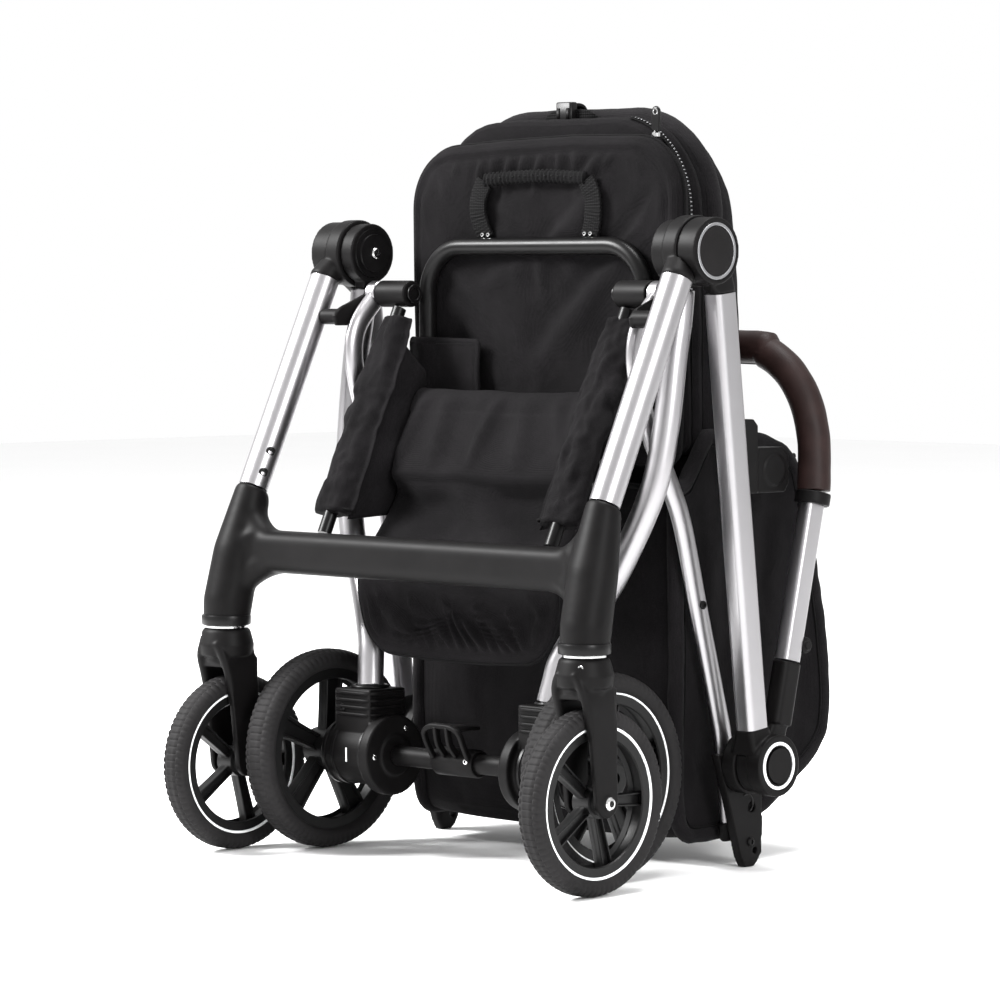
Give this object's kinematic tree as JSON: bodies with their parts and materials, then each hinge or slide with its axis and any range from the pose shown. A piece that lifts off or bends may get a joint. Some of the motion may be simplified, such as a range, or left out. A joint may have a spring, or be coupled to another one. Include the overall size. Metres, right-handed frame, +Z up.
{
  "type": "baby stroller",
  "caption": "Folding baby stroller, folded and standing upright, with seat, canopy, basket, handlebar, swivel front wheels and fixed rear wheels.",
  "frame": {"origin": "on the floor, under the middle of the folded stroller", "axes": "+X across the stroller, -Y to the front wheels, +Z up"},
  "size_m": [0.538, 0.508, 0.7466],
  "materials": {
    "silver_tube": "satin anodised",
    "tyre": "matt moulded foam rubber",
    "rim_plastic": "satin moulded plastic",
    "brown_leather": "smooth stitched leather look",
    "black_fabric": "plain woven polyester",
    "webbing": "ribbed webbing",
    "black_painted_tube": "satin black powder coat",
    "black_plastic": "fine moulded texture"
  },
  "bodies": {
    "front_frame": {"front_leg_left": "silver_tube", "front_leg_right": "silver_tube", "leg_elbow_left": "black_plastic", "leg_elbow_right": "black_plastic", "hub_core_left": "black_plastic", "hub_core_right": "black_plastic", "seat_bracket_left": "black_plastic", "seat_bracket_right": "black_plastic", "seat_sleeve_left": "black_fabric", "seat_sleeve_right": "black_fabric", "footrest_bar": "black_plastic", "seat_tubes": "black_painted_tube", "seat_fabric": "black_fabric", "backrest_tube": "black_painted_tube", "backrest_panel": "black_fabric", "carry_handle": "webbing", "canopy_fabric": "black_fabric", "canopy_bow": "black_fabric", "canopy_clip": "black_plastic"},
    "leg_rest": {"leg_rest": "black_fabric"},
    "zip_pull": {"zip_pull": "black_painted_tube"},
    "upper_frame": {"frame_link_left": "silver_tube", "frame_link_right": "silver_tube", "hub_shell_left": "black_plastic", "hub_shell_right": "black_plastic", "handle_hub_left": "black_plastic", "handle_hub_right": "black_plastic", "foot_plate_left": "black_plastic", "foot_plate_right": "black_plastic", "fold_catches": "black_plastic"},
    "button_left": {"handle_button_left": "black_plastic"},
    "button_right": {"handle_button_right": "black_plastic"},
    "fold_links": {"fold_link_left": "silver_tube", "fold_link_right": "silver_tube"},
    "handlebar": {"handle_tube_left": "silver_tube", "handle_tube_right": "silver_tube", "handle_yoke_left": "black_plastic", "handle_yoke_right": "black_plastic", "handle_grip": "brown_leather", "handle_collars": "black_plastic", "handle_knobs": "black_plastic"},
    "rear_frame": {"rear_leg_left": "silver_tube", "rear_leg_right": "silver_tube", "rear_hub_left": "black_plastic", "rear_hub_right": "black_plastic", "rear_housing_left": "black_plastic", "rear_housing_right": "black_plastic", "rear_axle": "black_painted_tube", "storage_basket": "black_fabric"},
    "brake_pedal": {"brake_pedal": "black_plastic"},
    "caster_left": {"front_fork_left": "black_plastic"},
    "caster_right": {"front_fork_right": "black_plastic"},
    "front_wheel_left": {"front_tyre_left": "tyre", "front_rim_left": "rim_plastic"},
    "front_wheel_right": {"front_tyre_right": "tyre", "front_rim_right": "rim_plastic"},
    "rear_wheel_left": {"rear_tyre_left": "tyre", "rear_rim_left": "rim_plastic"},
    "rear_wheel_right": {"rear_tyre_right": "tyre", "rear_rim_right": "rim_plastic"}
  },
  "joints": [
    {"name": "frame_fold", "type": "hinge", "parent": "front_frame", "child": "upper_frame", "pos_m": [0, -0.012, 0.597], "axis": [1, 0, 0], "range_deg": [0, 148]},
    {"name": "rear_leg_fold", "type": "hinge", "parent": "front_frame", "child": "rear_frame", "pos_m": [0, -0.012, 0.597], "axis": [1, 0, 0], "range_deg": [-1, 61]},
    {"name": "fold_link_pivot", "type": "hinge", "parent": "front_frame", "child": "fold_links", "pos_m": [0, -0.016, 0.556], "axis": [1, 0, 0], "range_deg": [-1, 150]},
    {"name": "handlebar_angle", "type": "hinge", "parent": "upper_frame", "child": "handlebar", "pos_m": [0, 0.08, 0.103], "axis": [1, 0, 0], "range_deg": [-150, 0]},
    {"name": "leg_rest_tilt", "type": "hinge", "parent": "front_frame", "child": "leg_rest", "pos_m": [0, -0.096, 0.298], "axis": [1, 0, 0], "range_deg": [-35, 0]},
    {"name": "brake_pedal_tilt", "type": "hinge", "parent": "rear_frame", "child": "brake_pedal", "pos_m": [0, -0.092, 0.1], "axis": [1, 0, 0], "range_deg": [0, 22]},
    {"name": "zip_pull_swing", "type": "hinge", "parent": "front_frame", "child": "zip_pull", "pos_m": [0.1375, 0.0395, 0.7115], "axis": [1, 0, 0], "range_deg": [0, 70]},
    {"name": "caster_swivel_left", "type": "hinge", "parent": "front_frame", "child": "caster_left", "pos_m": [-0.246, -0.176, 0.2], "axis": [0, 0, 1], "range_deg": [-14, 10]},
    {"name": "front_wheel_spin_left", "type": "hinge", "parent": "caster_left", "child": "front_wheel_left", "pos_m": [-0.245, -0.166, 0.088], "axis": [1, 0, 0], "continuous": true},
    {"name": "rear_wheel_spin_left", "type": "hinge", "parent": "rear_frame", "child": "rear_wheel_left", "pos_m": [-0.19, -0.092, 0.1], "axis": [1, 0, 0], "continuous": true},
    {"name": "handle_button_press_left", "type": "slide", "parent": "upper_frame", "child": "button_left", "axis": [1, 0, 0], "range_m": [0, 0.003], "stiffness_N_per_m": 600, "springref_m": -0.001},
    {"name": "caster_swivel_right", "type": "hinge", "parent": "front_frame", "child": "caster_right", "pos_m": [0.246, -0.176, 0.2], "axis": [0, 0, 1], "range_deg": [-10, 14]},
    {"name": "front_wheel_spin_right", "type": "hinge", "parent": "caster_right", "child": "front_wheel_right", "pos_m": [0.245, -0.166, 0.088], "axis": [1, 0, 0], "continuous": true},
    {"name": "rear_wheel_spin_right", "type": "hinge", "parent": "rear_frame", "child": "rear_wheel_right", "pos_m": [0.19, -0.092, 0.1], "axis": [1, 0, 0], "continuous": true},
    {"name": "handle_button_press_right", "type": "slide", "parent": "upper_frame", "child": "button_right", "axis": [-1, 0, 0], "range_m": [0, 0.003], "stiffness_N_per_m": 600, "springref_m": -0.001}
  ],
  "couplings": [
    {"joint": "rear_leg_fold", "follows": "frame_fold", "ratio": 0.4},
    {"joint": "fold_link_pivot", "follows": "frame_fold", "ratio": 1}
  ]
}
